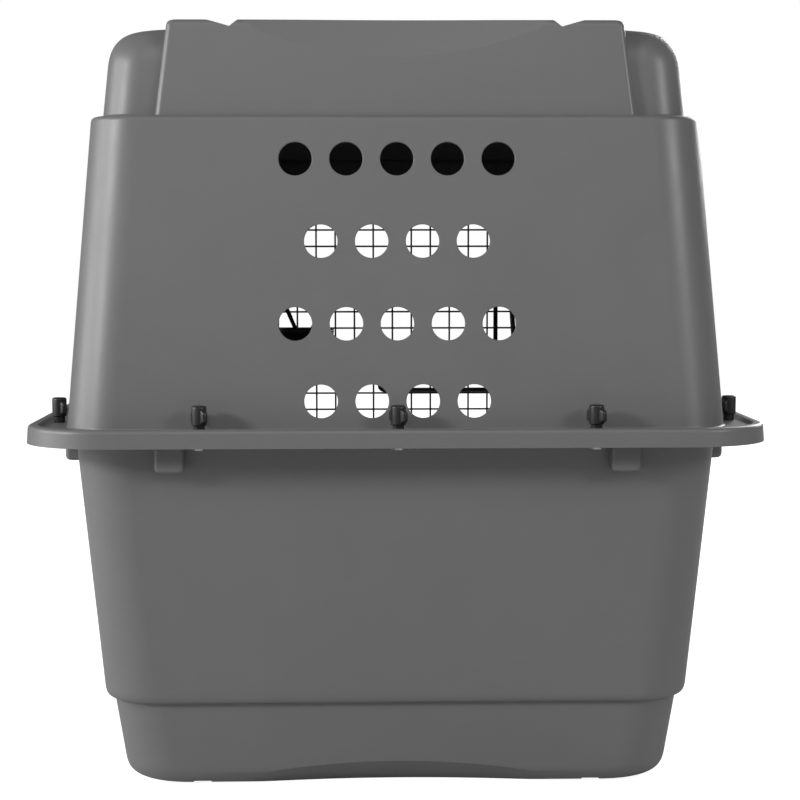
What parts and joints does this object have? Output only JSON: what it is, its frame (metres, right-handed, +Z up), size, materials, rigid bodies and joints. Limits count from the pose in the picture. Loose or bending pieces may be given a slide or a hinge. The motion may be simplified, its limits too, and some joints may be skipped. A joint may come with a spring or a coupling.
{
  "type": "pet kennel",
  "caption": "Rigid plastic pet kennel: tapered lower and upper shells bolted at a rim with wing nuts, round vent holes, and a hinged wire door with spring latch rods and a feed cup.",
  "frame": {"origin": "middle of the footprint, on the floor that the kennel stands on", "axes": "+Z up, +Y towards the closed rear wall (the door is at -Y), +X towards the left as seen from behind"},
  "size_m": [0.521, 0.711, 0.546],
  "materials": {
    "shell_plastic": "satin moulded",
    "zinc": "zinc plated",
    "door_wire": "dark coated wire",
    "black_plastic": "satin"
  },
  "bodies": {
    "shells": {"lower_shell": "shell_plastic", "upper_shell": "shell_plastic", "flange_bolts": "zinc"},
    "door": {"door_frame": "door_wire", "door_uprights": "door_wire", "door_cross_wires": "door_wire", "hinge_rod": "door_wire", "latch_guides": "black_plastic", "upper_latch_spring": "zinc", "lower_latch_spring": "zinc"},
    "upper_latch": {"upper_latch_rod": "door_wire", "upper_rod_collar": "black_plastic"},
    "lower_latch": {"lower_latch_rod": "door_wire", "lower_rod_collar": "black_plastic"},
    "cup": {"feed_cup": "black_plastic", "cup_hooks": "black_plastic"},
    "nut_rear_left": {"wing_nut_rear_left": "black_plastic"},
    "nut_rear_middle": {"wing_nut_rear_middle": "black_plastic"},
    "nut_rear_right": {"wing_nut_rear_right": "black_plastic"},
    "nut_left_1": {"wing_nut_left_1": "black_plastic"},
    "nut_left_2": {"wing_nut_left_2": "black_plastic"},
    "nut_left_3": {"wing_nut_left_3": "black_plastic"},
    "nut_left_4": {"wing_nut_left_4": "black_plastic"},
    "nut_right_1": {"wing_nut_right_1": "black_plastic"},
    "nut_right_2": {"wing_nut_right_2": "black_plastic"},
    "nut_right_3": {"wing_nut_right_3": "black_plastic"},
    "nut_right_4": {"wing_nut_right_4": "black_plastic"},
    "nut_front_left": {"wing_nut_front_left": "black_plastic"},
    "nut_front_right": {"wing_nut_front_right": "black_plastic"}
  },
  "joints": [
    {"name": "door_hinge", "type": "hinge", "parent": "shells", "child": "door", "pos_m": [0.115, -0.29145, 0.27], "axis": [0, 0, 1], "range_deg": [0, 100]},
    {"name": "upper_latch_slide", "type": "slide", "parent": "door", "child": "upper_latch", "axis": [0, 0, 1], "range_m": [0, 0.01], "stiffness_N_per_m": 150, "springref_m": 0.014, "deforming": ["upper_latch_spring"]},
    {"name": "lower_latch_slide", "type": "slide", "parent": "door", "child": "lower_latch", "axis": [0, 0, 1], "range_m": [-0.01, 0], "stiffness_N_per_m": 150, "springref_m": -0.014, "deforming": ["lower_latch_spring"]},
    {"name": "cup_lift", "type": "slide", "parent": "door", "child": "cup", "axis": [0, 0, 1], "range_m": [0, 0.009]},
    {"name": "nut_rear_left_spin", "type": "hinge", "parent": "shells", "child": "nut_rear_left", "pos_m": [0.1364, 0.3387, 0.26], "axis": [0, 0, 1], "continuous": true},
    {"name": "nut_rear_middle_spin", "type": "hinge", "parent": "shells", "child": "nut_rear_middle", "pos_m": [0, 0.3387, 0.26], "axis": [0, 0, 1], "continuous": true},
    {"name": "nut_rear_right_spin", "type": "hinge", "parent": "shells", "child": "nut_rear_right", "pos_m": [-0.1364, 0.3387, 0.26], "axis": [0, 0, 1], "continuous": true},
    {"name": "nut_left_1_spin", "type": "hinge", "parent": "shells", "child": "nut_left_1", "pos_m": [0.2437, 0.258, 0.26], "axis": [0, 0, 1], "continuous": true},
    {"name": "nut_left_2_spin", "type": "hinge", "parent": "shells", "child": "nut_left_2", "pos_m": [0.2437, 0.086, 0.26], "axis": [0, 0, 1], "continuous": true},
    {"name": "nut_left_3_spin", "type": "hinge", "parent": "shells", "child": "nut_left_3", "pos_m": [0.2437, -0.086, 0.26], "axis": [0, 0, 1], "continuous": true},
    {"name": "nut_left_4_spin", "type": "hinge", "parent": "shells", "child": "nut_left_4", "pos_m": [0.2437, -0.258, 0.26], "axis": [0, 0, 1], "continuous": true},
    {"name": "nut_right_1_spin", "type": "hinge", "parent": "shells", "child": "nut_right_1", "pos_m": [-0.2437, 0.258, 0.26], "axis": [0, 0, 1], "continuous": true},
    {"name": "nut_right_2_spin", "type": "hinge", "parent": "shells", "child": "nut_right_2", "pos_m": [-0.2437, 0.086, 0.26], "axis": [0, 0, 1], "continuous": true},
    {"name": "nut_right_3_spin", "type": "hinge", "parent": "shells", "child": "nut_right_3", "pos_m": [-0.2437, -0.086, 0.26], "axis": [0, 0, 1], "continuous": true},
    {"name": "nut_right_4_spin", "type": "hinge", "parent": "shells", "child": "nut_right_4", "pos_m": [-0.2437, -0.258, 0.26], "axis": [0, 0, 1], "continuous": true},
    {"name": "nut_front_left_spin", "type": "hinge", "parent": "shells", "child": "nut_front_left", "pos_m": [0.168, -0.3387, 0.26], "axis": [0, 0, 1], "continuous": true},
    {"name": "nut_front_right_spin", "type": "hinge", "parent": "shells", "child": "nut_front_right", "pos_m": [-0.168, -0.3387, 0.26], "axis": [0, 0, 1], "continuous": true}
  ],
  "couplings": [
    {"joint": "lower_latch_slide", "follows": "upper_latch_slide", "ratio": -1}
  ]
}
